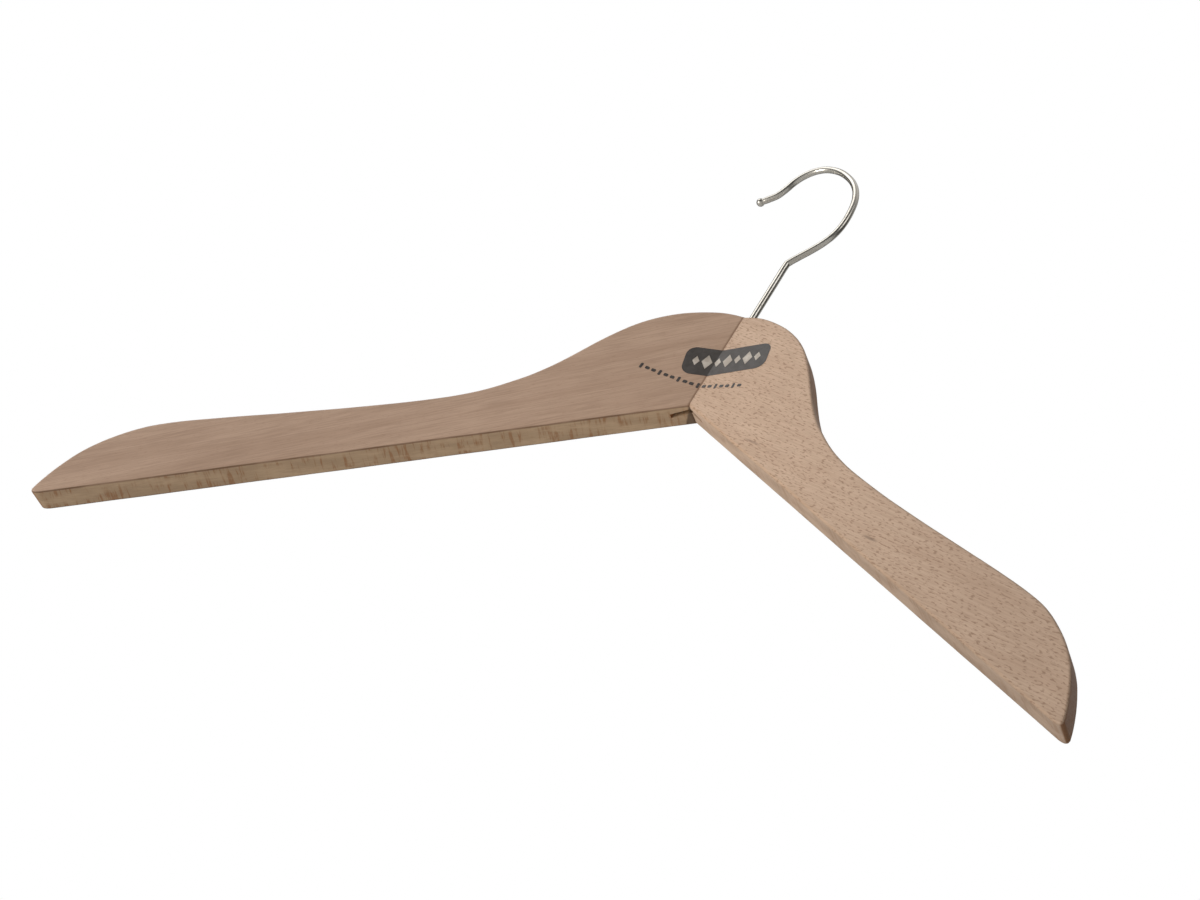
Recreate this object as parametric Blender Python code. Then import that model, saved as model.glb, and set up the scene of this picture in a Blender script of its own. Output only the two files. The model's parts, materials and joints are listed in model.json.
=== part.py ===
"""Wooden clothes hanger: two mitred beech arms, a loose tongue in the mitre, a swivel wire hook.

Metres, +Z up, +X along the hanger, -Y the printed front.  The world origin is the point
under the hook's crown that rests on a rail.  Board sizes are laid out from the mitre's
front lower corner and everything is then moved so that the crown sits at the origin.
"""
import math

import bmesh
import bpy
from mathutils import Vector

# ---- overall sizes ----
ARM_REACH = 0.2296            # mitre to tip, along one arm's front face
ARM_SWEEP = math.radians(11.5)    # how far each arm turns towards the front, in plan
ARM_SLOPE = math.radians(30.95)   # fall of the straight lower edge
MITRE_HEIGHT = 0.0498         # height of the board at the mitre
BOARD_THICK = 0.0109          # square to an arm's own face
EDGE_ROUND = 0.0011           # rounding of the long arrises
TIP_ROUND = 0.0055            # rounding of the lower tip corner, seen from the front

# ---- fits ----
GLUE_GAP = 0.0003             # between neighbouring pieces that touch
SWIVEL_CLEAR = 0.00005        # radial running clearance of the shank in its bore

# ---- tongue in the mitre ----
TONGUE_THICK = 0.0015
TONGUE_REACH = 0.0070         # into each arm
TONGUE_CLEAR = 0.0008         # wood left between the tongue's slot and the bore's floor
TONGUE_LIFT = 0.0016          # left open above the lower edge
TONGUE_DEPTH = 0.30           # centre of the tongue, as a share of the thickness

# ---- hook ----
WIRE_R = 0.00142
BALL_R = 0.00180
NECK_SHARE = 0.93              # of the wire's radius, just behind the ball
HOOK_TURN = math.radians(-10.0)   # how far the hook stands out of the plane of the mitre
HOOK_WIDTH = 0.0405           # between the wire's centrelines across the main arc
HOOK_HEIGHT = 0.0592          # bend at the top of the shank to the crown
SHANK_RISE = 0.0351           # wood to the bend
SHANK_SINK = 0.0230           # depth of the shank in the wood
BORE_EXTRA = 0.0010           # free depth under the shank
THREAD_LENGTH = 0.0160
THREAD_PITCH = 0.0010
THREAD_DEPTH = 0.00022
WIRE_SIDES = 24
ROUND_STEPS = 3
BORE_SIDES = 96

# Height of the board above its lower edge, as a share of MITRE_HEIGHT, against the share
# of ARM_REACH from the mitre.
BOARD_PROFILE = (
    (-0.035, 0.910), (0.0000, 1.000), (0.0218, 1.056), (0.0436, 1.100), (0.0653, 1.129),
    (0.0871, 1.149), (0.1089, 1.160), (0.1307, 1.157), (0.1524, 1.140), (0.1742, 1.103),
    (0.1960, 1.036), (0.2178, 0.950), (0.2395, 0.848), (0.2613, 0.752), (0.2831, 0.676),
    (0.3049, 0.6195), (0.3484, 0.547), (0.3920, 0.515), (0.4355, 0.509), (0.5009, 0.519),
    (0.5662, 0.540), (0.6533, 0.576), (0.7404, 0.6155), (0.8057, 0.642), (0.8406, 0.650),
    (0.8711, 0.648), (0.8929, 0.632), (0.9146, 0.598), (0.9364, 0.547), (0.9538, 0.488),
    (0.9669, 0.425), (0.9756, 0.363), (0.9843, 0.285), (0.9909, 0.210), (0.9965, 0.128),
    (0.9996, 0.060),
)

# Hook centreline in its own plane, from the bend to the tip: x as a share of HOOK_WIDTH
# from the shank's axis, z as a share of HOOK_HEIGHT above the bend.
HOOK_SHAPE = (
    (0.000, 0.000), (0.022, 0.038), (0.106, 0.094), (0.205, 0.156), (0.294, 0.224),
    (0.362, 0.300), (0.398, 0.386), (0.405, 0.486), (0.384, 0.612), (0.338, 0.708),
    (0.262, 0.797), (0.143, 0.882), (-0.032, 0.961), (-0.207, 0.998), (-0.346, 0.994),
    (-0.468, 0.955), (-0.560, 0.888), (-0.622, 0.803), (-0.681, 0.742), (-0.755, 0.709),
    (-0.826, 0.683),
)

BEND_Z = MITRE_HEIGHT + SHANK_RISE
EDGE_RUN = BOARD_THICK / math.cos(ARM_SWEEP)    # edges are cut square to the whole hanger
BORE_FLOOR = MITRE_HEIGHT - SHANK_SINK - BORE_EXTRA
TONGUE_TOP = BORE_FLOOR - TONGUE_CLEAR - GLUE_GAP
SHANK_Y = 0.5 * EDGE_RUN


def clear_scene():
    for item in list(bpy.data.objects):
        bpy.data.objects.remove(item, do_unlink=True)


def new_collection(name):
    group = bpy.data.collections.new(name)
    bpy.context.scene.collection.children.link(group)
    return group


def new_material(name, colour, roughness, metallic):
    mat = bpy.data.materials.new(name)
    mat.use_nodes = True
    shader = mat.node_tree.nodes["Principled BSDF"]
    shader.inputs["Base Color"].default_value = (*colour, 1.0)
    shader.inputs["Roughness"].default_value = roughness
    shader.inputs["Metallic"].default_value = metallic
    mat.diffuse_color = (*colour, 1.0)
    return mat


def through_points(points, steps):
    """Smooth curve through every point (Catmull-Rom)."""
    pts = [Vector(p) for p in points]
    pts = [2 * pts[0] - pts[1]] + pts + [2 * pts[-1] - pts[-2]]
    out = []
    for a, b, c, d in zip(pts, pts[1:], pts[2:], pts[3:]):
        for k in range(steps):
            t = k / steps
            out.append(0.5 * (2 * b + (c - a) * t + (2 * a - 5 * b + 4 * c - d) * t * t
                              + (3 * b - a - 3 * c + d) * t ** 3))
    out.append(pts[-2])
    return out


def hook_path():
    """Centreline of the hook in its own plane, from the straight shank to the tip."""
    points = [(0.0, BEND_Z - 0.010)]
    points += [(x * HOOK_WIDTH, BEND_Z + z * HOOK_HEIGHT) for x, z in HOOK_SHAPE]
    return through_points(points, 5)


def crown_rest():
    """Under side of the hook's highest point, where a rail carries it."""
    top = max(hook_path(), key=lambda p: p.y)
    return Vector((top.x * math.cos(HOOK_TURN), SHANK_Y + top.x * math.sin(HOOK_TURN),
                   top.y - WIRE_R))


def lower_edge(u):
    return -math.tan(ARM_SLOPE) * u


def board_outline():
    """Closed outline of one arm, run past the mitre, as (along, up) pairs."""
    top = [(s * ARM_REACH, lower_edge(s * ARM_REACH) + h * MITRE_HEIGHT)
           for s, h in BOARD_PROFILE]
    outline = [(p.x, p.y) for p in through_points(top, 3)]
    tip = Vector(outline[-1])
    run = Vector((-math.cos(ARM_SLOPE), math.sin(ARM_SLOPE)))
    corner = Vector((0.9985 * ARM_REACH, lower_edge(0.9985 * ARM_REACH)))
    foot = corner + run * TIP_ROUND
    for k in range(1, 6):
        t = k / 6
        mid = (1 - t) ** 2 * tip + 2 * t * (1 - t) * corner + t ** 2 * foot
        outline.append((mid.x, mid.y))
    outline.append((foot.x, foot.y))
    start = BOARD_PROFILE[0][0] * ARM_REACH
    outline.append((start, lower_edge(start)))
    return outline


def inset(outline, distance):
    """Outline moved inwards; it runs clockwise, seen from the front."""
    pts = [Vector(p) for p in outline]
    moved = []
    for before, here, after in zip(pts[-1:] + pts[:-1], pts, pts[1:] + pts[:1]):
        a = (here - before).normalized()
        b = (after - here).normalized()
        bisector = Vector((a.y + b.y, -a.x - b.x)).normalized()
        reach = distance / max(0.5, bisector.dot(Vector((a.y, -a.x))))
        moved.append(here + bisector * reach)
    return moved


def rounded_board(name, outline, side):
    """Board on the arm's own front face, arrises rounded, edges square to the whole hanger."""
    slip = side * math.tan(ARM_SWEEP)
    layers = []
    for k in range(ROUND_STEPS + 1):
        turn = 0.5 * math.pi * k / ROUND_STEPS
        layers.append((EDGE_ROUND * (1 - math.sin(turn)), EDGE_ROUND * (1 - math.cos(turn))))
    layers += [(gap, BOARD_THICK - depth) for gap, depth in reversed(layers)]
    bm = bmesh.new()
    rings = []
    for gap, depth in layers:
        ring = inset(outline, gap)
        rings.append([bm.verts.new((side * p.x - slip * depth, depth, p.y)) for p in ring])
    bm.faces.new(rings[0])
    bm.faces.new(rings[-1])
    count = len(outline)
    for near, far in zip(rings, rings[1:]):
        for k in range(count):
            n = (k + 1) % count
            bm.faces.new((near[k], near[n], far[n], far[k]))
    bmesh.ops.recalc_face_normals(bm, faces=bm.faces)
    mesh = bpy.data.meshes.new(name)
    bm.to_mesh(mesh)
    bm.free()
    return bpy.data.objects.new(name, mesh)


def box(name, low, high):
    bm = bmesh.new()
    bmesh.ops.create_cube(bm, size=1.0)
    for v in bm.verts:
        for k in range(3):
            v.co[k] = low[k] if v.co[k] < 0 else high[k]
    mesh = bpy.data.meshes.new(name)
    bm.to_mesh(mesh)
    bm.free()
    return bpy.data.objects.new(name, mesh)


def bore_cutter(name, floor_z, top_z):
    inner = WIRE_R + SWIVEL_CLEAR
    radius = inner / math.cos(math.pi / BORE_SIDES)
    bm = bmesh.new()
    bmesh.ops.create_cone(bm, cap_ends=True, segments=BORE_SIDES, radius1=radius, radius2=radius,
                          depth=top_z - floor_z)
    mesh = bpy.data.meshes.new(name)
    bm.to_mesh(mesh)
    bm.free()
    obj = bpy.data.objects.new(name, mesh)
    obj.location = (0.0, SHANK_Y, 0.5 * (floor_z + top_z))
    return obj


def keep_as_cutter(obj, cutters, shift):
    cutters.objects.link(obj)
    obj.location = Vector(obj.location) + shift
    obj.hide_render = True
    obj.display_type = "WIRE"
    return obj


def cut(obj, cutter):
    """Difference; MANIFOLD, because EXACT loses the turned board at some sizes."""
    mod = obj.modifiers.new("Cut " + cutter.name, "BOOLEAN")
    mod.operation = "DIFFERENCE"
    mod.solver = "MANIFOLD"
    mod.object = cutter


def make_cutters(cutters, shift):
    half = 0.5 * GLUE_GAP
    reach = TONGUE_REACH + GLUE_GAP
    tongue_y = TONGUE_DEPTH * EDGE_RUN
    half_slot = 0.5 * TONGUE_THICK + GLUE_GAP
    pieces = {
        "mitre_left": box("cut_mitre_left", (-half, -0.03, -0.05), (0.05, 0.05, 0.1)),
        "mitre_right": box("cut_mitre_right", (-0.05, -0.03, -0.05), (half, 0.05, 0.1)),
        "slot": box("cut_slot", (-reach, tongue_y - half_slot, -0.02),
                    (reach, tongue_y + half_slot, TONGUE_TOP + GLUE_GAP)),
        "bore": bore_cutter("cut_bore", BORE_FLOOR, MITRE_HEIGHT + 0.02),
    }
    return {key: keep_as_cutter(obj, cutters, shift) for key, obj in pieces.items()}


def make_arm(name, side, shapes, group, mat, shift):
    arm = rounded_board(name, board_outline(), side)
    group.objects.link(arm)
    arm.rotation_euler = (0.0, 0.0, -side * ARM_SWEEP)
    arm.location = shift
    arm.data.materials.append(mat)
    cut(arm, shapes["mitre_right" if side > 0 else "mitre_left"])
    cut(arm, shapes["slot"])
    cut(arm, shapes["bore"])
    return arm


def make_tongue(group, mat, shift):
    mid = TONGUE_DEPTH * EDGE_RUN
    half = 0.5 * TONGUE_THICK
    obj = box("mitre_tongue", (-TONGUE_REACH, mid - half, TONGUE_LIFT),
              (TONGUE_REACH, mid + half, TONGUE_TOP))
    group.objects.link(obj)
    obj.location = shift
    obj.data.materials.append(mat)
    return obj


def hook_points():
    """Centreline points with a radius share: threaded end, shank, hook, ball tip."""
    foot = MITRE_HEIGHT - SHANK_SINK
    rows = [((0.0, foot), 0.72)]
    count = round(THREAD_LENGTH / THREAD_PITCH)
    low = 1.0 - THREAD_DEPTH / WIRE_R
    for k in range(count):
        z = foot + THREAD_PITCH * (k + 0.4)
        rows.append(((0.0, z), 1.0))
        rows.append(((0.0, z + 0.5 * THREAD_PITCH), low))
    rows.append(((0.0, foot + THREAD_LENGTH + THREAD_PITCH), 1.0))
    rows.append(((0.0, MITRE_HEIGHT), 1.0))
    path = hook_path()
    rows += [((p.x, p.y), 1.0) for p in path[:-1]]
    tip = path[-1]
    rows.append(((tip.x, tip.y), NECK_SHARE))
    way = (path[-1] - path[-2]).normalized()
    for k in range(1, 13):
        angle = math.pi * (0.25 + 0.75 * k / 12)
        along = BALL_R * (math.cos(math.pi * 0.25) - math.cos(angle))
        p = tip + way * along
        rows.append(((p.x, p.y), max(0.03, BALL_R * math.sin(angle) / WIRE_R)))
    return rows


def make_hook(group, mat, shift):
    rows = hook_points()
    curve = bpy.data.curves.new("hook", "CURVE")
    curve.dimensions = "3D"
    curve.bevel_depth = WIRE_R
    curve.bevel_resolution = (WIRE_SIDES - 4) // 2
    curve.use_fill_caps = True
    spline = curve.splines.new("POLY")
    spline.points.add(len(rows) - 1)
    for point, ((x, z), share) in zip(spline.points, rows):
        point.co = (x, 0.0, z, 1.0)
        point.radius = share
    spline.use_smooth = True
    obj = bpy.data.objects.new("hook", curve)
    group.objects.link(obj)
    obj.rotation_euler = (0.0, 0.0, HOOK_TURN)
    obj.location = Vector((0.0, SHANK_Y, 0.0)) + shift
    curve.materials.append(mat)
    return obj


def main():
    clear_scene()
    shift = -crown_rest()
    group = new_collection("clothes_hanger")
    cutters = new_collection("cutters")
    left_wood = new_material("beech_left", (0.63, 0.46, 0.33), 0.5, 0.0)
    right_wood = new_material("beech_right", (0.66, 0.49, 0.36), 0.5, 0.0)
    inner_wood = new_material("birch_tongue", (0.72, 0.60, 0.44), 0.6, 0.0)
    nickel = new_material("satin_nickel", (0.62, 0.60, 0.57), 0.28, 1.0)
    shapes = make_cutters(cutters, shift)
    make_arm("left_arm", -1, shapes, group, left_wood, shift)
    make_arm("right_arm", 1, shapes, group, right_wood, shift)
    make_tongue(group, inner_wood, shift)
    make_hook(group, nickel, shift)
    bpy.context.view_layer.update()


main()
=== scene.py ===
"""Clothes hanger: two mitred beech arms with a printed patch, under a swivelling nickel hook.

Everything is in metres in the row frame.  An arm is described on its own front face by u,
the distance from the mitre along the arm, and z, the height above the mitre's lower corner.
"""

import json
import math
from typing import NamedTuple

import bmesh
import bpy
import numpy as np
from mathutils import Matrix, Vector


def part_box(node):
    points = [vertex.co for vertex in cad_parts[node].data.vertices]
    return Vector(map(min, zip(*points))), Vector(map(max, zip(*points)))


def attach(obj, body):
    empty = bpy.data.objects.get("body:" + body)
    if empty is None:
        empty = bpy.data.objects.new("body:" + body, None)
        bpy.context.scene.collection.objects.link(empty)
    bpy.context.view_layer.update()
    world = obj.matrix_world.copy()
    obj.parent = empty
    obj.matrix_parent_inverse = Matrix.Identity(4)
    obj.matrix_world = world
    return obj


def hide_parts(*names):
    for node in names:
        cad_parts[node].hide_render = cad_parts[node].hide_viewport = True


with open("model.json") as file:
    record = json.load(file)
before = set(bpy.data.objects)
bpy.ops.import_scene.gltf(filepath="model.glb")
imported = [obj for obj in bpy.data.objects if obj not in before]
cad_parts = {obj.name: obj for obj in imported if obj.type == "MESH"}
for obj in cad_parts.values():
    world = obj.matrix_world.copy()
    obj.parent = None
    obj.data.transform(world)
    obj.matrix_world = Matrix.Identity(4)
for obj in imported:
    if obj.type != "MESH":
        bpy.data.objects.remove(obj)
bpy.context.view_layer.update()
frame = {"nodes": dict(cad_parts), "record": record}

# ---- board, as in the CAD ----
ARM_REACH = 0.2296
ARM_SWEEP = math.radians(11.5)
ARM_SLOPE = math.radians(30.95)
MITRE_HEIGHT = 0.0498
BOARD_THICK = 0.0109
EDGE_RUN = BOARD_THICK / math.cos(ARM_SWEEP)
EDGE_ROUND = 0.0011
TIP_SHARE = 0.9985                # where the two edges would meet, as a share of ARM_REACH
TIP_ROUND = 0.0055
# Height above the lower edge, as a share of MITRE_HEIGHT, against the share of ARM_REACH.
BOARD_PROFILE = (
    (-0.035, 0.910), (0.0000, 1.000), (0.0218, 1.056), (0.0436, 1.100), (0.0653, 1.129),
    (0.0871, 1.149), (0.1089, 1.160), (0.1307, 1.157), (0.1524, 1.140), (0.1742, 1.103),
    (0.1960, 1.036), (0.2178, 0.950), (0.2395, 0.848), (0.2613, 0.752), (0.2831, 0.676),
    (0.3049, 0.6195), (0.3484, 0.547), (0.3920, 0.515), (0.4355, 0.509), (0.5009, 0.519),
    (0.5662, 0.540), (0.6533, 0.576), (0.7404, 0.6155), (0.8057, 0.642), (0.8406, 0.650),
    (0.8711, 0.648), (0.8929, 0.632), (0.9146, 0.598), (0.9364, 0.547), (0.9538, 0.488),
    (0.9669, 0.425), (0.9756, 0.363), (0.9843, 0.285), (0.9909, 0.210), (0.9965, 0.128),
    (0.9996, 0.060),
)

# ---- hook, as in the CAD ----
WIRE_R = 0.00142
BALL_R = 0.00180
NECK_SHARE = 0.93
FOOT_SHARE = 0.72                 # radius of the rolled end against the wire's
HOOK_TURN = math.radians(-10.0)
HOOK_WIDTH = 0.0405
HOOK_HEIGHT = 0.0592
SHANK_RISE = 0.0351
SHANK_SINK = 0.0230
BEND_LEAD = 0.010                 # straight shank kept in the curve below the bend
THREAD_LENGTH = 0.0160
THREAD_PITCH = 0.0010
THREAD_DEPTH = 0.00022
# Centreline from the bend to the ball, in shares of HOOK_WIDTH and HOOK_HEIGHT.
HOOK_SHAPE = (
    (0.000, 0.000), (0.022, 0.038), (0.106, 0.094), (0.205, 0.156), (0.294, 0.224),
    (0.362, 0.300), (0.398, 0.386), (0.405, 0.486), (0.384, 0.612), (0.338, 0.708),
    (0.262, 0.797), (0.143, 0.882), (-0.032, 0.961), (-0.207, 0.998), (-0.346, 0.994),
    (-0.468, 0.955), (-0.560, 0.888), (-0.622, 0.803), (-0.681, 0.742), (-0.755, 0.709),
    (-0.826, 0.683),
)
BEND_Z = MITRE_HEIGHT + SHANK_RISE

# ---- joint in the middle ----
TONGUE_LIFT = 0.0016
SLOT_CLEAR = 0.0003
BORE_CLEAR = 0.00005
BORE_EXTRA = 0.0010
MITRE_LINE = 0.00007              # width left open along the glued joint
CUT_PAST = 0.05                   # how far a cutter reaches past the board

# ---- fineness of the meshes ----
OUTLINE_STEPS = 8
TIP_STEPS = 13
EDGE_STEPS = 60
ROUND_STEPS = 6
SUPPORT = 0.00015                 # ring that keeps the flat faces shading flat
FLAT_AREA = 1e-5                  # faces larger than this are shaded flat
WEAR_WAVES = ((0.06, 23.0, 1.0), (0.04, 61.0, 2.0))   # share of the rounding, waves, phase
BORE_SIDES = 96
WIRE_SIDES = 40
WIRE_STEPS = 12
SHANK_ROWS = 5
SHANK_STEP = 0.004
NECK_ROWS = 6
BALL_ROWS = 24
BALL_START = math.radians(45.0)   # where the neck meets the ball, from the ball's back
BALL_END_R = 0.00004

SHANK = frame["record"]["behaviour"]["joints"][0]["pos_m"]
TONGUE_LOW, TONGUE_HIGH = (Vector(corner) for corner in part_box("mitre_tongue"))
CORNER = Vector((SHANK[0], SHANK[1] - 0.5 * EDGE_RUN, TONGUE_LOW.z - TONGUE_LIFT))


def through_points(points, steps):
    """Smooth curve through every point (Catmull-Rom)."""
    pts = [Vector(p) for p in points]
    pts = [2 * pts[0] - pts[1]] + pts + [2 * pts[-1] - pts[-2]]
    out = []
    for a, b, c, d in zip(pts, pts[1:], pts[2:], pts[3:]):
        for k in range(steps):
            t = k / steps
            out.append(0.5 * (2 * b + (c - a) * t + (2 * a - 5 * b + 4 * c - d) * t * t
                              + (3 * b - a - 3 * c + d) * t ** 3))
    out.append(pts[-2])
    return out


def add_object(name, mesh):
    obj = bpy.data.objects.new(name, mesh)
    bpy.context.scene.collection.objects.link(obj)
    return obj


def closed_object(name, bm):
    """Object from a finished bmesh, with its faces turned outwards."""
    bmesh.ops.recalc_face_normals(bm, faces=bm.faces)
    mesh = bpy.data.meshes.new(name)
    bm.to_mesh(mesh)
    bm.free()
    return add_object(name, mesh)


def smooth(mesh, degrees):
    """Round shading, except on the large flat faces."""
    for face in mesh.polygons:
        face.use_smooth = face.area < FLAT_AREA
    mesh.set_sharp_from_angle(angle=math.radians(degrees))


# ------------------------------------------------------------------ board geometry

def lower_edge(u):
    return -math.tan(ARM_SLOPE) * u


def board_outline():
    """Outline of an arm's front face: top edge, rounded tip, straight lower edge."""
    top = [(s * ARM_REACH, lower_edge(s * ARM_REACH) + h * MITRE_HEIGHT)
           for s, h in BOARD_PROFILE]
    outline = through_points(top, OUTLINE_STEPS)
    tip = outline[-1]
    run = Vector((-math.cos(ARM_SLOPE), math.sin(ARM_SLOPE)))
    corner = Vector((TIP_SHARE * ARM_REACH, lower_edge(TIP_SHARE * ARM_REACH)))
    foot = corner + run * TIP_ROUND
    for k in range(1, TIP_STEPS):
        t = k / TIP_STEPS
        outline.append((1 - t) ** 2 * tip + 2 * t * (1 - t) * corner + t ** 2 * foot)
    start = BOARD_PROFILE[0][0] * ARM_REACH
    for k in range(EDGE_STEPS + 1):
        u = foot.x + (start - foot.x) * k / EDGE_STEPS
        outline.append(Vector((u, lower_edge(u))))
    return outline


def inset(outline, distances):
    """The outline moved inwards, by its own distance at each point."""
    moved = []
    count = len(outline)
    for k in range(count):
        before, here, after = outline[k - 1], outline[k], outline[(k + 1) % count]
        a = (here - before).normalized()
        b = (after - here).normalized()
        bisector = Vector((a.y + b.y, -a.x - b.x)).normalized()
        reach = distances[k] / max(0.5, bisector.dot(Vector((a.y, -a.x))))
        moved.append(here + bisector * reach)
    return moved


def on_arm(side, u, z, depth=0.0):
    """Point of an arm in the row frame; depth runs straight back from the front face."""
    return CORNER + Vector((side * u * math.cos(ARM_SWEEP), -u * math.sin(ARM_SWEEP) + depth, z))


def board_layers():
    """(share of the rounding, plain inset, depth share, plain depth) from the face inwards."""
    rows = [(1.0, SUPPORT, 0.0, 0.0)]
    for k in range(ROUND_STEPS + 1):
        turn = 0.5 * math.pi * k / ROUND_STEPS
        rows.append((1 - math.sin(turn), 0.0, 1 - math.cos(turn), 0.0))
    rows.append((0.0, 0.0, 1.0, SUPPORT))
    return rows


def make_board(name, side):
    """One board lying along its own X, its arrises rounded by hand so that they vary a little."""
    outline = board_outline()
    count = len(outline)
    way = np.array([p.x for p in outline]) / ARM_REACH
    wear = np.ones(count)
    for share, waves, phase in WEAR_WAVES:
        wear = wear + share * np.sin(waves * way + phase * side)
    slip = math.tan(ARM_SWEEP)
    bm = bmesh.new()
    rings = []
    for back in (False, True):
        rows = board_layers()
        for share, gap, down, extra in (reversed(rows) if back else rows):
            ring = inset(outline, [EDGE_ROUND * wear[k] * share + gap for k in range(count)])
            verts = []
            for k in range(count):
                depth = EDGE_ROUND * wear[k] * down + extra
                if back:
                    depth = BOARD_THICK - depth
                verts.append(bm.verts.new((side * (ring[k].x - slip * depth), depth, ring[k].y)))
            rings.append(verts)
    bm.faces.new(rings[0])
    bm.faces.new(rings[-1])
    for near, far in zip(rings, rings[1:]):
        for k in range(count):
            n = (k + 1) % count
            bm.faces.new((near[k], near[n], far[n]))
            bm.faces.new((near[k], far[n], far[k]))
    return closed_object(name, bm)


def make_block(name, low, high):
    bm = bmesh.new()
    bmesh.ops.create_cube(bm, size=1.0)
    for v in bm.verts:
        for k in range(3):
            v.co[k] = low[k] if v.co[k] < 0 else high[k]
    return closed_object(name, bm)


def make_bore(name):
    """Cutter for the hole that the hook's shank turns in."""
    low = CORNER.z + MITRE_HEIGHT - SHANK_SINK - BORE_EXTRA
    high = CORNER.z + MITRE_HEIGHT + CUT_PAST
    radius = WIRE_R + BORE_CLEAR
    bm = bmesh.new()
    bmesh.ops.create_cone(bm, cap_ends=True, segments=BORE_SIDES, radius1=radius,
                          radius2=radius, depth=high - low)
    bmesh.ops.translate(bm, verts=bm.verts, vec=(SHANK[0], SHANK[1], 0.5 * (low + high)))
    return closed_object(name, bm)


def mitre_and_slot(side):
    """Cutters for one side of the mitre and for the tongue's slot."""
    edge = CORNER.x + side * 0.5 * MITRE_LINE
    far = CORNER.x - side * CUT_PAST
    mitre = make_block("cut_mitre",
                       (min(edge, far), CORNER.y - CUT_PAST, CORNER.z - CUT_PAST),
                       (max(edge, far), CORNER.y + CUT_PAST, CORNER.z + MITRE_HEIGHT + CUT_PAST))
    half = 0.5 * (TONGUE_HIGH.y - TONGUE_LOW.y) + SLOT_CLEAR
    mid = 0.5 * (TONGUE_HIGH.y + TONGUE_LOW.y)
    reach = TONGUE_HIGH.x - CORNER.x + SLOT_CLEAR
    slot = make_block("cut_slot", (CORNER.x - reach, mid - half, CORNER.z - CUT_PAST),
                      (CORNER.x + reach, mid + half, TONGUE_HIGH.z + SLOT_CLEAR))
    return [mitre, slot]


def make_arm(name, side, mat):
    """A board with the mitre, the tongue's slot and half of the hook's bore cut from it."""
    rough = make_board(name + "_rough", side)
    rough.location = CORNER
    rough.rotation_euler = (0.0, 0.0, -side * ARM_SWEEP)
    cutters = mitre_and_slot(side) + [make_bore("cut_bore")]
    for cutter in cutters:
        mod = rough.modifiers.new(cutter.name, "BOOLEAN")
        mod.operation = "DIFFERENCE"
        mod.solver = "MANIFOLD"
        mod.object = cutter
    bpy.context.view_layer.update()
    graph = bpy.context.evaluated_depsgraph_get()
    mesh = bpy.data.meshes.new_from_object(rough.evaluated_get(graph))
    mesh.transform(rough.matrix_world)
    mesh.name = name
    for spare in [rough] + cutters:
        bpy.data.objects.remove(spare, do_unlink=True)
    smooth(mesh, 28.0)
    mesh.materials.clear()
    mesh.materials.append(mat)
    return add_object(name, mesh)


# ------------------------------------------------------------------ hook geometry

def shank_rows():
    """Centreline points with a radius, from the rolled end up to the bend."""
    foot = MITRE_HEIGHT - SHANK_SINK
    rows = [((0.0, foot), FOOT_SHARE * WIRE_R)]
    for k in range(round(THREAD_LENGTH / THREAD_PITCH)):
        z = foot + THREAD_PITCH * (k + 0.4)
        rows.append(((0.0, z), WIRE_R))
        rows.append(((0.0, z + 0.5 * THREAD_PITCH), WIRE_R - THREAD_DEPTH))
    rows.append(((0.0, foot + THREAD_LENGTH + THREAD_PITCH), WIRE_R))
    rows += [((0.0, MITRE_HEIGHT + SHANK_STEP * k), WIRE_R) for k in range(SHANK_ROWS + 1)]
    return rows


def hook_rows():
    """Centreline points with a radius: shank, hook, neck and ball."""
    points = [(0.0, BEND_Z - BEND_LEAD)]
    points += [(x * HOOK_WIDTH, BEND_Z + z * HOOK_HEIGHT) for x, z in HOOK_SHAPE]
    path = through_points(points, WIRE_STEPS)
    rows = shank_rows() + [((p.x, p.y), WIRE_R) for p in path[:-NECK_ROWS]]
    tip = path[-1]
    way = (path[-1] - path[-3]).normalized()
    for k, p in enumerate(path[-NECK_ROWS:]):
        rows.append(((p.x, p.y), WIRE_R * (1 - (1 - NECK_SHARE) * k / (NECK_ROWS - 1))))
    for k in range(1, BALL_ROWS + 1):
        angle = BALL_START + (math.pi - BALL_START) * k / BALL_ROWS
        p = tip + way * BALL_R * (math.cos(BALL_START) - math.cos(angle))
        rows.append(((p.x, p.y), max(BALL_END_R, BALL_R * math.sin(angle))))
    return rows


def make_hook(name, mat):
    """Round wire swept along a path in one plane, with its length kept for the finish."""
    rows = hook_rows()
    path = np.array([place for place, _ in rows])
    radius = np.array([r for _, r in rows])
    step = np.gradient(path, axis=0)
    step /= np.linalg.norm(step, axis=1)[:, None]
    length = np.r_[0.0, np.cumsum(np.linalg.norm(np.diff(path, axis=0), axis=1))]
    turn = Matrix.Rotation(HOOK_TURN, 3, "Z")
    base = Vector((SHANK[0], SHANK[1], CORNER.z))
    bm = bmesh.new()
    along = bm.verts.layers.float.new("along")
    rings = []
    for (x, z), (tx, tz), r, s in zip(path, step, radius, length):
        ring = []
        for k in range(WIRE_SIDES):
            a = 2 * math.pi * k / WIRE_SIDES
            side, out = math.cos(a) * r, math.sin(a) * r
            vert = bm.verts.new(base + turn @ Vector((x - tz * side, out, z + tx * side)))
            vert[along] = s
            ring.append(vert)
        rings.append(ring)
    for near, far in zip(rings, rings[1:]):
        for k in range(WIRE_SIDES):
            n = (k + 1) % WIRE_SIDES
            bm.faces.new((near[k], near[n], far[n], far[k]))
    bm.faces.new(rings[0])
    bm.faces.new(rings[-1])
    obj = closed_object(name, bm)
    smooth(obj.data, 40.0)
    obj.data.materials.append(mat)
    return obj


# ------------------------------------------------------------------ print geometry

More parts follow.
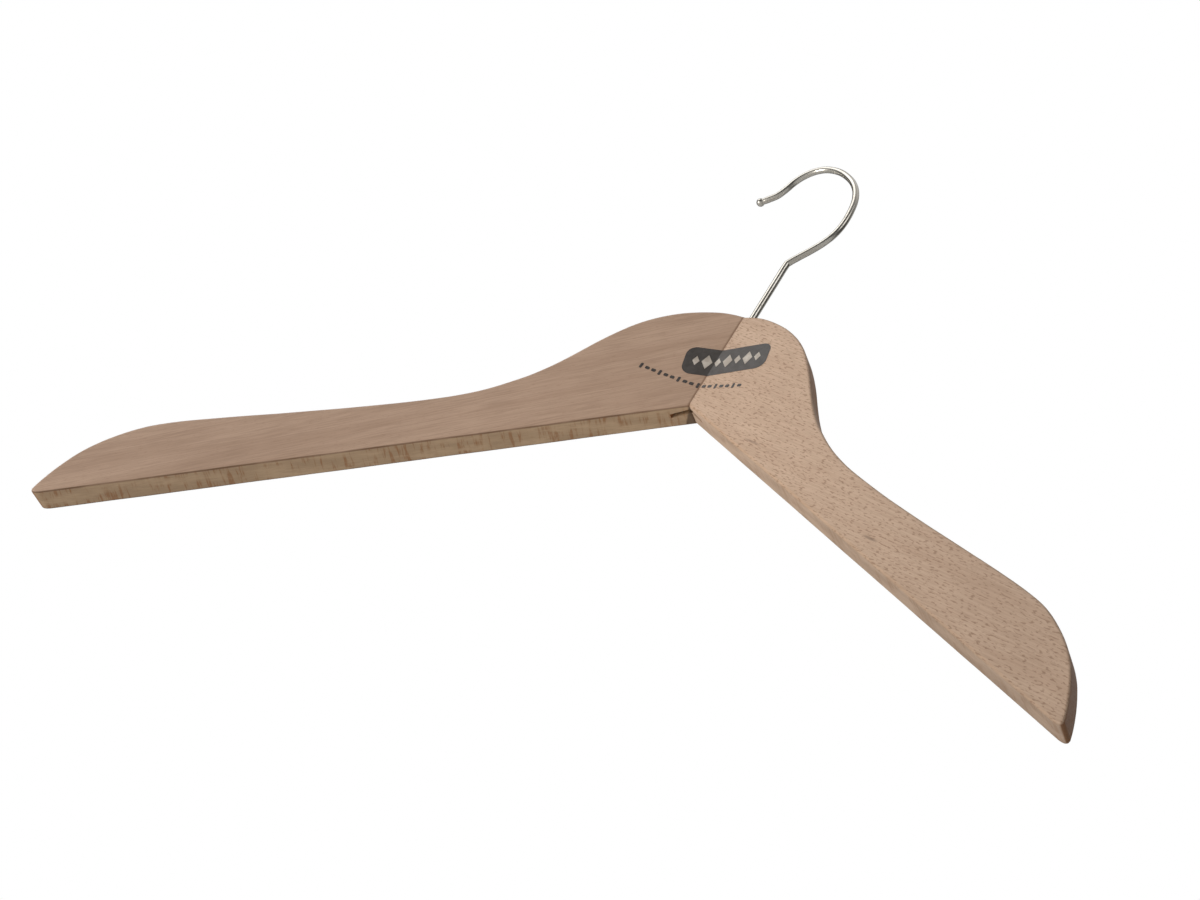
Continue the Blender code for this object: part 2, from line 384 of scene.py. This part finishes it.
PRINT_LIFT = 0.00010              # height of the ink film above the wood
LOZENGE_LIFT = 1.8 * PRINT_LIFT   # the pale ink lies on the dark
PRINT_SINK = 0.00010
PATCH_CENTRE = (0.0058, 0.0243)   # along the hanger from the mitre, and up
PATCH_SIZE = (0.0375, 0.0140)
PATCH_TILT = math.radians(11.0)
PATCH_CORNER = 0.0042
LOZENGE_PITCH = 0.0046
LOZENGE_HALF = (0.0036, 0.0024)   # half heights, in turn from the middle
LOZENGE_SLIM = 0.62               # width against height
DASH_PITCH = 0.0029
DASH_SHIFT = -0.0012
DASH_LEVEL = 0.0103
DASH_BOW = 1.9                    # the row is a parabola, per metre
DASH_SIZE = (0.0019, 0.0014)
DASH_TALL = (0.0011, 0.0026)      # every third one
DASH_CORNER = 0.0004


def rounded(centre, size, corner, tilt, steps=8):
    """Rounded rectangle as a closed list of (across, up) points, counter-clockwise."""
    points = []
    half = (0.5 * size[0] - corner, 0.5 * size[1] - corner)
    for q, (sx, sz) in enumerate(((1, 1), (-1, 1), (-1, -1), (1, -1))):
        for k in range(steps + 1):
            a = 0.5 * math.pi * (q + k / steps)
            x = sx * half[0] + corner * math.cos(a)
            z = sz * half[1] + corner * math.sin(a)
            points.append((centre[0] + x * math.cos(tilt) - z * math.sin(tilt),
                           centre[1] + x * math.sin(tilt) + z * math.cos(tilt)))
    return points


def clip_side(points, side):
    """The part of a closed outline on one side of the mitre."""
    out = []
    for (x0, z0), (x1, z1) in zip(points, points[1:] + points[:1]):
        if side * x0 >= 0:
            out.append((x0, z0))
        if x0 * x1 < 0:
            t = x0 / (x0 - x1)
            out.append((0.0, z0 + (z1 - z0) * t))
    return out


def film(bm, points, side, lift):
    """Closed thin film on one arm's front face."""
    if len(points) < 3:
        return
    rings = []
    for depth in (-lift, PRINT_SINK):
        rings.append([bm.verts.new(on_arm(side, abs(x), z, depth)) for x, z in points])
    bm.faces.new(rings[0])
    bm.faces.new(rings[1])
    for k in range(len(points)):
        n = (k + 1) % len(points)
        bm.faces.new((rings[0][k], rings[0][n], rings[1][n], rings[1][k]))


def make_print(name, shapes, lift, mat):
    bm = bmesh.new()
    for shape in shapes:
        for side in (-1, 1):
            film(bm, clip_side(shape, side), side, lift)
    obj = closed_object(name, bm)
    obj.data.materials.append(mat)
    return obj


def patch_shapes():
    return [rounded(PATCH_CENTRE, PATCH_SIZE, PATCH_CORNER, PATCH_TILT)]


def on_patch(x, z):
    c, s = math.cos(PATCH_TILT), math.sin(PATCH_TILT)
    return (PATCH_CENTRE[0] + x * c - z * s, PATCH_CENTRE[1] + x * s + z * c)


def lozenge_shapes():
    """A plain row of lozenges, large and small in turn."""
    shapes = []
    for k in range(-3, 4):
        size = LOZENGE_HALF[k % 2]
        x = LOZENGE_PITCH * k
        shapes.append([on_patch(x + size * LOZENGE_SLIM, 0.0), on_patch(x, size),
                       on_patch(x - size * LOZENGE_SLIM, 0.0), on_patch(x, -size)])
    return shapes


def dash_shapes():
    """A gently curved row of short dashes under the patch."""
    shapes = []
    for k in range(-9, 8):
        x = DASH_PITCH * k + DASH_SHIFT
        z = DASH_LEVEL + DASH_BOW * x * x
        tilt = math.atan(2 * DASH_BOW * x)
        shapes.append(rounded((x, z), DASH_SIZE if k % 3 else DASH_TALL, DASH_CORNER, tilt, 3))
    return shapes


# ------------------------------------------------------------------ node trees

class Graph:
    """Short names for building a node tree."""

    def __init__(self, tree):
        self.tree = tree

    def node(self, kind, **settings):
        made = self.tree.nodes.new(kind)
        for key, value in settings.items():
            setattr(made, key, value)
        return made

    def link(self, source, target):
        self.tree.links.new(source, target)

    def feed(self, socket, value):
        if isinstance(value, bpy.types.NodeSocket):
            self.link(value, socket)
        else:
            socket.default_value = value

    def math(self, kind, a, b=0.0):
        made = self.node("ShaderNodeMath", operation=kind)
        self.feed(made.inputs[0], a)
        self.feed(made.inputs[1], b)
        return made.outputs[0]

    def vector_math(self, kind, a, b):
        made = self.node("ShaderNodeVectorMath", operation=kind)
        self.feed(made.inputs[0], a)
        self.feed(made.inputs[1], b)
        return made

    def dot(self, a, b):
        return self.vector_math("DOT_PRODUCT", a, tuple(b)).outputs["Value"]

    def less(self, a, b):
        return self.vector_math("SUBTRACT", a, tuple(b)).outputs[0]

    def vector(self, x, y, z):
        made = self.node("ShaderNodeCombineXYZ")
        for socket, value in zip(made.inputs, (x, y, z)):
            self.feed(socket, value)
        return made.outputs[0]

    def noise(self, place, scale=1.0, detail=3.0, rough=0.5, twist=0.0):
        made = self.node("ShaderNodeTexNoise", noise_dimensions="3D")
        self.feed(made.inputs["Vector"], place)
        made.inputs["Scale"].default_value = scale
        made.inputs["Detail"].default_value = detail
        made.inputs["Roughness"].default_value = rough
        made.inputs["Distortion"].default_value = twist
        return made.outputs["Fac"]

    def stretched(self, parts, sizes):
        """Place divided by the size, in millimetres, of one grain of the pattern each way."""
        return self.vector(*[self.math("MULTIPLY", part, PER_MM / size)
                             for part, size in zip(parts, sizes)])

    def ramp(self, value, low, high, out_low=0.0, out_high=1.0):
        """Smooth step from out_low at low to out_high at high."""
        made = self.node("ShaderNodeMapRange", interpolation_type="SMOOTHSTEP")
        self.feed(made.inputs["Value"], value)
        made.inputs["From Min"].default_value = low
        made.inputs["From Max"].default_value = high
        made.inputs["To Min"].default_value = out_low
        made.inputs["To Max"].default_value = out_high
        return made.outputs["Result"]

    def mix(self, share, a, b):
        """Colour a with a share of colour b over it."""
        made = self.node("ShaderNodeMix", data_type="RGBA")
        self.feed(made.inputs[0], share)
        self.feed(made.inputs[6], (*a, 1.0) if isinstance(a, tuple) else a)
        self.feed(made.inputs[7], (*b, 1.0) if isinstance(b, tuple) else b)
        return made.outputs[2]


class Finish(Graph):
    """One material's node tree, with its shader."""

    def __init__(self, name):
        self.mat = bpy.data.materials.new(name)
        self.mat.use_nodes = True
        super().__init__(self.mat.node_tree)
        self.shader = self.tree.nodes["Principled BSDF"]

    def cover(self, colour, rough, height, strength, distance):
        """Join colour, roughness and a bump to the shader, and hand back the material."""
        self.link(colour, self.shader.inputs["Base Color"])
        self.link(rough, self.shader.inputs["Roughness"])
        bump = self.node("ShaderNodeBump")
        bump.inputs["Strength"].default_value = strength
        bump.inputs["Distance"].default_value = distance
        self.link(height, bump.inputs["Height"])
        self.link(bump.outputs["Normal"], self.shader.inputs["Normal"])
        return self.mat


def tone(colour, share):
    """A darker or lighter tone of the same colour, a little redder as it darkens."""
    warm = 1.0 + 0.10 * (1.0 - share)
    return tuple(min(1.0, v * share * w) for v, w in zip(colour, (warm, 1.0, 2.0 - warm)))


# ------------------------------------------------------------------ beech

PER_MM = 1000.0
FLECK_BROWN = (0.235, 0.120, 0.064)
RAY_BROWN = (0.31, 0.135, 0.050)
END_BROWN = (0.250, 0.105, 0.032)
ARRIS_BROWN = (0.155, 0.082, 0.042)
GLUE_BROWN = (0.20, 0.105, 0.055)
# Painted shadow: the shade that the right arm casts on the left arm's lower edge by the mitre.
SHADOW_BROWN = (0.085, 0.050, 0.028)
SHADOW_SPREAD = 0.36               # width of the painted shadow by the mitre, per depth in the board


class Beech(NamedTuple):
    """What differs between the two arms: their wood, and the light and shade painted on them."""

    side: int                     # -1 for the left arm, 1 for the right
    fall: float                   # fall of the grain from level
    pale: tuple
    deep: tuple
    edge: tuple                   # colour of the cut edges
    fleck_depth: float
    fleck_limit: float            # a higher limit leaves fewer flecks
    arris_depth: float
    ray_depth: float
    glue_depth: float
    # strength of the painted shadow cast by the other arm by the mitre
    shadow_depth: float
    tip_shade: float               # painted shade: brightness at the tip against the mitre, as the light falls off along the arm
    marks: tuple                  # dark streaks: u, z, half length, half width, strength


LEFT_WOOD = Beech(
    side=-1, fall=math.radians(36.0), pale=(0.540, 0.366, 0.262), deep=(0.462, 0.304, 0.212),
    edge=(0.530, 0.362, 0.222), fleck_depth=0.16, fleck_limit=0.62, arris_depth=0.95,
    ray_depth=0.72, glue_depth=0.70, shadow_depth=0.80, tip_shade=0.82, marks=())
# The right arm's lighter colours are partly its own paler board and partly painted light, as it
# faces the lamp on the left.
RIGHT_WOOD = Beech(
    side=1, fall=math.radians(20.0), pale=(0.622, 0.428, 0.296), deep=(0.565, 0.375, 0.252),
    edge=(0.620, 0.445, 0.325), fleck_depth=0.50, fleck_limit=0.56, arris_depth=0.10,
    ray_depth=0.30, glue_depth=0.20, shadow_depth=0.0, tip_shade=0.78,
    marks=((0.0422, -0.0190, 0.0060, 0.0007, 0.55), (0.1200, -0.0643, 0.0050, 0.0008, 0.75)))


class ArmPlace:
    """Where a shaded point lies in its arm, in metres."""

    def __init__(self, g, wood):
        place = g.node("ShaderNodeTexCoord")
        here = g.less(place.outputs["Object"], CORNER)
        c, s = math.cos(ARM_SWEEP), math.sin(ARM_SWEEP)
        level = Vector((wood.side * c, -s, 0.0))
        back = Vector((wood.side * s, c, 0.0))
        up = Vector((0.0, 0.0, 1.0))
        grain = level * math.cos(wood.fall) - up * math.sin(wood.fall)
        cross = level * math.sin(wood.fall) + up * math.cos(wood.fall)
        edge_way = level * math.cos(ARM_SLOPE) - up * math.sin(ARM_SLOPE)
        self.along = g.dot(here, grain)
        self.over = g.dot(here, cross)
        self.deep_in = g.dot(here, back)
        self.edge_along = g.dot(here, edge_way)
        self.reach = g.dot(here, level)
        self.from_joint = g.math("ABSOLUTE", g.dot(here, (1.0, 0.0, 0.0)))
        # 0 on the front and the back, 1 on the cut edges.
        rim = g.math("MINIMUM", self.deep_in, g.math("SUBTRACT", BOARD_THICK, self.deep_in))
        self.rim = g.ramp(rim, 0.10 * EDGE_ROUND, 1.0 * EDGE_ROUND)
        # 1 where the fibres end in the surface.
        facing = g.dot(place.outputs["Normal"], grain)
        self.endness = g.math("POWER", g.math("ABSOLUTE", facing), 2.0)


def face_colour(g, wood, at, fibre, cloud, pore):
    """Front and back: broad bands, fine fibres, short flecks."""
    band = g.noise(g.stretched((at.along, at.over, at.deep_in), (120.0, 7.0, 8.0)),
                   detail=3.0, rough=0.55, twist=0.6)
    colour = g.mix(g.ramp(band, 0.36, 0.64), wood.pale, wood.deep)
    colour = g.mix(g.ramp(fibre, 0.38, 0.66, 0.0, 0.50), colour, tone(wood.deep, 0.70))
    colour = g.mix(g.ramp(cloud, 0.30, 0.75, 0.0, 0.30), colour, tone(wood.pale, 1.06))
    return g.mix(g.math("MULTIPLY", pore, wood.fleck_depth), colour, FLECK_BROWN)


def marked(g, wood, at, fibre, colour):
    """The colour with the arm's dark streaks along the grain."""
    c, s = math.cos(wood.fall), math.sin(wood.fall)
    for u, z, half_long, half_wide, strength in wood.marks:
        a = g.math("DIVIDE", g.math("SUBTRACT", at.along, u * c - z * s), half_long)
        b = g.math("DIVIDE", g.math("SUBTRACT", at.over, u * s + z * c), half_wide)
        far = g.math("SQRT", g.math("ADD", g.math("MULTIPLY", a, a), g.math("MULTIPLY", b, b)))
        far = g.math("ADD", far, g.math("MULTIPLY", fibre, 0.8))
        colour = g.mix(g.ramp(far, 1.5, 0.7, 0.0, strength), colour, tone(wood.deep, 0.45))
    return colour


def edge_colour(g, wood, at, patchy, rays):
    """Cut edges: rays across the thickness, darker where the fibres end."""
    fine = g.noise(g.stretched((at.edge_along, at.deep_in, at.over), (5.0, 0.6, 30.0)),
                   detail=3.0)
    cut = g.mix(g.ramp(patchy, 0.36, 0.64), wood.edge, tone(wood.edge, 0.80))
    cut = g.mix(g.ramp(fine, 0.36, 0.70, 0.0, 0.34), cut, tone(wood.edge, 0.62))
    cut = g.mix(g.math("MULTIPLY", rays, wood.ray_depth), cut, RAY_BROWN)
    return g.mix(g.ramp(at.endness, 0.07, 0.50, 0.0, 0.92), cut, END_BROWN)


def arris_share(g, wood, at, patchy):
    """How strongly the burnished line along each arris shows."""
    line = g.math("MULTIPLY", g.ramp(at.rim, 0.01, 0.22), g.ramp(at.rim, 1.0, 0.78))
    uneven = g.ramp(patchy, 0.34, 0.66, 0.6 * wood.arris_depth, wood.arris_depth)
    return g.math("MULTIPLY", line, uneven)


def jointed(g, wood, at, colour):
    """The colour with the glue line in the mitre and a painted shadow beside it on the lower edge.
    """
    glue = g.ramp(at.from_joint, 0.0011, 0.00015, 0.0, wood.glue_depth)
    colour = g.mix(glue, colour, GLUE_BROWN)
    if not wood.shadow_depth:
        return colour
    # Painted shadow: a wedge on the lower edge, nothing at the front corner and widest at the
    # back, where the right arm shades the left.
    spread = g.math("SUBTRACT", at.from_joint, g.math("MULTIPLY", at.deep_in, SHADOW_SPREAD))
    painted_shadow = g.math("MULTIPLY", g.ramp(spread, 0.0003, -0.0006), g.ramp(at.rim, 0.5, 1.0))
    return g.mix(g.math("MULTIPLY", painted_shadow, wood.shadow_depth), colour, SHADOW_BROWN)


def beech(name, wood):
    """Clear-finished beech: streaks and flecks along the grain, rays on the cut edges."""
    g = Finish(name)
    at = ArmPlace(g, wood)
    grain_way = (at.along, at.over, at.deep_in)
    fibre = g.noise(g.stretched(grain_way, (16.0, 0.60, 0.9)), detail=5.0, rough=0.62)
    cloud = g.noise(g.stretched(grain_way, (26.0, 15.0, 12.0)), detail=2.0)
    pore = g.noise(g.stretched(grain_way, (2.4, 0.62, 0.7)), detail=1.5, rough=0.4)
    sparse = g.ramp(cloud, 0.30, 0.70, wood.fleck_limit + 0.03, wood.fleck_limit)
    pore = g.ramp(g.math("SUBTRACT", pore, sparse), 0.0, 0.07)
    ray = g.noise(g.stretched((at.edge_along, at.deep_in, at.over), (1.5, 14.0, 60.0)),
                  detail=3.0, rough=0.6, twist=0.3)
    patchy = g.noise(g.stretched((at.edge_along, at.deep_in, 0.0), (22.0, 6.0, 1.0)), detail=3.0)
    rays = g.math("MULTIPLY", g.ramp(ray, 0.50, 0.62), g.ramp(patchy, 0.40, 0.56, 0.12, 1.0))

    colour = face_colour(g, wood, at, fibre, cloud, pore)
    colour = marked(g, wood, at, fibre, colour)
    colour = g.mix(at.rim, colour, edge_colour(g, wood, at, patchy, rays))
    colour = g.mix(arris_share(g, wood, at, patchy), colour, ARRIS_BROWN)
    colour = jointed(g, wood, at, colour)
    # Painted shade: the colour darkens from the mitre towards the tip, where less light reaches.
    painted_falloff = g.node("ShaderNodeVectorMath", operation="SCALE")
    g.link(colour, painted_falloff.inputs[0])
    g.link(g.ramp(at.reach, 0.0, ARM_REACH, 1.0, wood.tip_shade), painted_falloff.inputs["Scale"])

    rough = g.math("ADD", g.ramp(fibre, 0.3, 0.8, 0.42, 0.54), g.math("MULTIPLY", pore, 0.12))
    rough = g.math("ADD", rough, g.math("MULTIPLY", at.rim, 0.05))
    g.shader.inputs["Specular IOR Level"].default_value = 0.35
    height = g.math("SUBTRACT", g.math("MULTIPLY", fibre, 0.35), g.math("MULTIPLY", pore, 0.25))
    grooves = g.math("MULTIPLY", g.math("MULTIPLY", rays, at.rim), 0.2)
    return g.cover(painted_falloff.outputs[0], rough, g.math("SUBTRACT", height, grooves), 0.55, 0.0001)


# ------------------------------------------------------------------ birch, nickel and ink

def plywood(name):
    """Thin birch tongue: layers through its thickness."""
    g = Finish(name)
    here = g.less(g.node("ShaderNodeTexCoord").outputs["Object"], TONGUE_LOW)
    across, deep_in, up = (g.dot(here, axis) for axis in ((1, 0, 0), (0, 1, 0), (0, 0, 1)))
    fibre = g.noise(g.stretched((across, deep_in, up), (9.0, 0.4, 0.7)), detail=4.0)
    layer = g.math("FRACT", g.math("MULTIPLY", deep_in, 3.0 / (TONGUE_HIGH.y - TONGUE_LOW.y)))
    colour = g.mix(g.ramp(fibre, 0.3, 0.7), (0.50, 0.36, 0.22), (0.38, 0.25, 0.14))
    colour = g.mix(g.ramp(layer, 0.08, 0.0, 0.0, 0.6), colour, (0.12, 0.07, 0.04))
    return g.cover(colour, g.ramp(fibre, 0.3, 0.8, 0.55, 0.7), fibre, 0.4, 0.0001)


def nickel(name):
    """Plated drawn wire: faint lines along it and small dull spots."""
    g = Finish(name)
    place = g.node("ShaderNodeTexCoord").outputs["Object"]
    along = g.node("ShaderNodeAttribute", attribute_name="along").outputs["Fac"]
    drawn = g.noise(g.vector(g.math("MULTIPLY", along, PER_MM / 40.0),
                             g.dot(place, (0.0, PER_MM / 0.35, 0.0)),
                             g.dot(place, (PER_MM / 1.6, 0.0, PER_MM / 1.6))), detail=3.0)
    dull = g.noise(place, scale=420.0, detail=4.0, rough=0.6)
    cloud = g.noise(place, scale=70.0, detail=2.0)
    colour = g.mix(g.ramp(cloud, 0.35, 0.65), (0.56, 0.525, 0.465), (0.64, 0.61, 0.55))
    colour = g.mix(g.ramp(dull, 0.58, 0.72, 0.0, 0.35), colour, (0.36, 0.33, 0.29))
    g.shader.inputs["Metallic"].default_value = 1.0
    rough = g.math("ADD", g.ramp(drawn, 0.3, 0.7, 0.20, 0.27), g.ramp(dull, 0.55, 0.75, 0.0, 0.10))
    height = g.math("ADD", drawn, g.math("MULTIPLY", dull, 0.4))
    return g.cover(colour, rough, height, 0.12, 0.00002)


def ink(name, dark, worn):
    """Printed film: the wood's fibres show through as worn specks."""
    g = Finish(name)
    place = g.node("ShaderNodeTexCoord").outputs["Object"]
    fibre = g.noise(g.vector(g.dot(place, (PER_MM / 2.2, 0.0, 400.0)),
                             g.dot(place, (0.0, 300.0, 0.0)),
                             g.dot(place, (-900.0, 0.0, PER_MM / 0.45))), detail=4.0, rough=0.6)
    cloud = g.noise(place, scale=260.0, detail=3.0)
    colour = g.mix(g.ramp(cloud, 0.35, 0.7), dark, tone(dark, 1.5))
    colour = g.mix(g.ramp(fibre, 0.60, 0.74, 0.0, 0.5), colour, worn)
    return g.cover(colour, g.ramp(fibre, 0.3, 0.8, 0.42, 0.62), fibre, 0.4, 0.00006)


# ------------------------------------------------------------------ the object

left = make_arm("left_board", -1, beech("beech_left", LEFT_WOOD))
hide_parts("left_arm")
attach(left, "board")

right = make_arm("right_board", 1, beech("beech_right", RIGHT_WOOD))
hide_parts("right_arm")
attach(right, "board")

tongue = frame["nodes"]["mitre_tongue"]
tongue.data.materials.clear()
tongue.data.materials.append(plywood("birch_tongue"))

hook = make_hook("wire_hook", nickel("satin_nickel"))
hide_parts("hook")
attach(hook, "hook")

charcoal = ink("ink_charcoal", (0.043, 0.035, 0.030), (0.20, 0.145, 0.105))
patch = make_print("printed_patch", patch_shapes(), PRINT_LIFT, charcoal)
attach(patch, "board")
pale_ink = ink("ink_pale", (0.42, 0.36, 0.30), (0.22, 0.17, 0.13))
lozenges = make_print("printed_lozenges", lozenge_shapes(), LOZENGE_LIFT, pale_ink)
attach(lozenges, "board")
dashes = make_print("printed_dashes", dash_shapes(), PRINT_LIFT, charcoal)
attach(dashes, "board")


# ------------------------------------------------------------------ stage, light, camera

FLOOR_LEVEL = -1.15
FLOOR_HALF = 6.0

KEY_PLACE = (-0.66, -0.80, -0.82)
KEY_TARGET = (0.0, 0.0, -0.15)
KEY_SIZE = (0.5, 0.5)
KEY_POWER = 8.3
KEY_COLOUR = (1.0, 0.985, 0.955)

# Grey of the room, from straight down (0) past the horizon (0.5) to straight up (1).
ROOM_GREYS = (
    (0.0, 0.40), (0.30, 0.50), (0.46, 0.22), (0.56, 0.07), (0.80, 0.09), (0.92, 0.40), (1.0, 0.80),
)
# Soft panels: direction, cosine where one starts, cosine where it is full, strength.
ROOM_PANELS = (
    ((0.62, -0.60, 0.50), 0.950, 0.985, 1.7),
    ((-0.70, -0.50, 0.60), 0.890, 0.975, 2.0),
    ((0.20, 0.80, 0.45), 0.900, 0.970, 0.5),
)

CAMERA_RIGHT = Vector((0.8265, 0.3158, 0.4659))
CAMERA_DOWN = Vector((0.1524, 0.6712, -0.7254))
CAMERA_VIEW = Vector((-0.5419, 0.6706, 0.5067))
CAMERA_FROM_CORNER = Vector((0.5378, -0.6971, -0.5563))
SENSOR_WIDTH = 36.0
LENS = 79.53


def make_floor():
    bm = bmesh.new()
    bmesh.ops.create_grid(bm, x_segments=1, y_segments=1, size=FLOOR_HALF)
    mesh = bpy.data.meshes.new("floor")
    bm.to_mesh(mesh)
    bm.free()
    g = Finish("floor")
    g.shader.inputs["Base Color"].default_value = (0.92, 0.92, 0.91, 1.0)
    g.shader.inputs["Roughness"].default_value = 0.9
    mesh.materials.append(g.mat)
    obj = add_object("floor", mesh)
    obj.location = (0.0, 0.0, FLOOR_LEVEL)


def make_key():
    """One soft lamp below, in front and to the left."""
    lamp = bpy.data.lights.new("key", "AREA")
    lamp.shape = "RECTANGLE"
    lamp.size, lamp.size_y = KEY_SIZE
    lamp.energy = KEY_POWER
    lamp.color = KEY_COLOUR
    obj = add_object("key", lamp)
    obj.location = KEY_PLACE
    way = Vector(KEY_TARGET) - Vector(KEY_PLACE)
    obj.rotation_euler = way.to_track_quat("-Z", "Y").to_euler()


def room_light(g):
    """Colour of the dim room, with its panels, in each direction."""
    way = g.node("ShaderNodeTexCoord").outputs["Generated"]
    level = g.math("MULTIPLY", g.dot(way, (0.0, 0.0, 1.0)), 0.5)
    ramp = g.node("ShaderNodeValToRGB")
    g.link(g.math("ADD", level, 0.5), ramp.inputs[0])
    stops = ramp.color_ramp.elements
    for stop, (position, grey) in zip(stops, (ROOM_GREYS[0], ROOM_GREYS[-1])):
        stop.position = position
        stop.color = (grey, grey, grey, 1.0)
    for position, grey in ROOM_GREYS[1:-1]:
        stops.new(position).color = (grey, grey, grey, 1.0)
    total = ramp.outputs["Color"]
    for toward, outer, inner, strength in ROOM_PANELS:
        near = g.dot(way, Vector(toward).normalized())
        panel = g.ramp(near, outer, inner, 0.0, strength)
        total = g.vector_math("ADD", total, panel).outputs[0]
    return total


def make_world():
    """White behind the object; a dim room with three soft panels for everything it reflects."""
    world = bpy.data.worlds.new("studio")
    bpy.context.scene.world = world
    world.use_nodes = True
    world.node_tree.nodes.clear()
    g = Graph(world.node_tree)
    seen = g.node("ShaderNodeBackground")
    seen.inputs["Color"].default_value = (1.0, 1.0, 1.0, 1.0)
    room = g.node("ShaderNodeBackground")
    g.link(room_light(g), room.inputs["Color"])
    mix = g.node("ShaderNodeMixShader")
    g.link(g.node("ShaderNodeLightPath").outputs["Is Camera Ray"], mix.inputs[0])
    g.link(room.outputs[0], mix.inputs[1])
    g.link(seen.outputs[0], mix.inputs[2])
    g.link(mix.outputs[0], g.node("ShaderNodeOutputWorld").inputs["Surface"])


def make_camera():
    """Below the hanger, in front and to its right, tilted so that the board runs level."""
    cam = bpy.data.cameras.new("camera")
    cam.sensor_width = SENSOR_WIDTH
    cam.lens = LENS
    obj = add_object("camera", cam)
    turn = Matrix((CAMERA_RIGHT, -CAMERA_DOWN, -CAMERA_VIEW)).transposed().to_4x4()
    obj.matrix_world = Matrix.Translation(CORNER + CAMERA_FROM_CORNER) @ turn
    bpy.context.scene.camera = obj


make_floor()
make_world()
make_key()
make_camera()
bpy.context.scene.view_settings.view_transform = "Standard"
